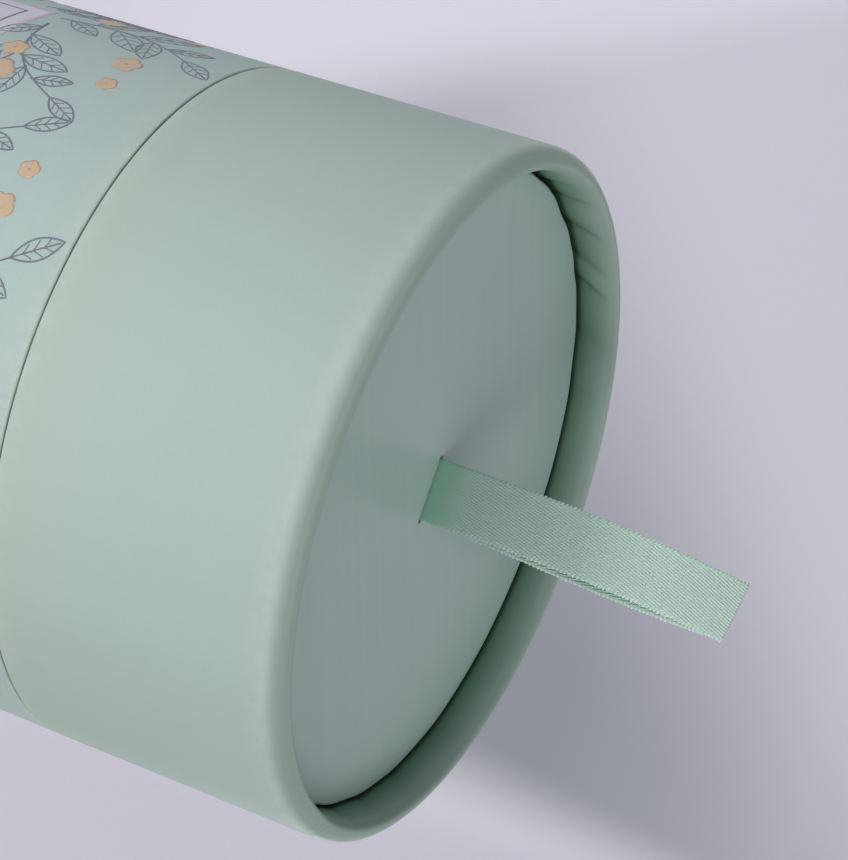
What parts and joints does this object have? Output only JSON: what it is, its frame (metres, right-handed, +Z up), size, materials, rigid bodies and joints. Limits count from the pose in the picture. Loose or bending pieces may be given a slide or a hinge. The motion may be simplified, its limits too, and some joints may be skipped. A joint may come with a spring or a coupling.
{
  "type": "cylindrical gift tube box",
  "caption": "Round gift box of paper-covered board tube: a lid that slides up off an inner neck, with a recessed top and a satin ribbon pull loop.",
  "frame": {"origin": "centre of the foot, on the plane that the box stands on", "axes": "+Z up along the tube from foot to lid, +X along the ribbon's width, -Y towards the front, from which the picture looks"},
  "size_m": [0.112, 0.112, 0.2239],
  "materials": {
    "mint_paper": "matt uncoated mint paper, printed",
    "mint_disc_paper": "smooth calendered mint paper",
    "grey_board": "raw wound grey board",
    "neck_board": "board faced with off-white paper",
    "lining_paper": "plain off-white paper",
    "satin_ribbon": "woven double-face satin"
  },
  "bodies": {
    "body": {"base_tube": "grey_board", "base_wrap": "mint_paper", "neck_tube": "neck_board", "neck_lining": "lining_paper", "base_disc": "grey_board", "base_disc_cover": "mint_disc_paper", "base_floor_disc": "lining_paper"},
    "lid": {"lid_tube": "grey_board", "lid_wrap": "mint_paper", "lid_liner": "lining_paper", "lid_disc": "grey_board", "lid_disc_cover": "mint_disc_paper", "lid_backing_disc": "lining_paper", "ribbon_tails": "satin_ribbon"},
    "ribbon": {"ribbon_loop": "satin_ribbon"}
  },
  "joints": [
    {"name": "lid_lift", "type": "slide", "parent": "body", "child": "lid", "axis": [0, 0, 1], "range_m": [0, 0.08]},
    {"name": "ribbon_flop", "type": "hinge", "parent": "lid", "child": "ribbon", "pos_m": [0, 0, 0.1754], "axis": [1, 0, 0], "range_deg": [-65, 80], "stiffness_Nm_per_rad": 0.001}
  ]
}
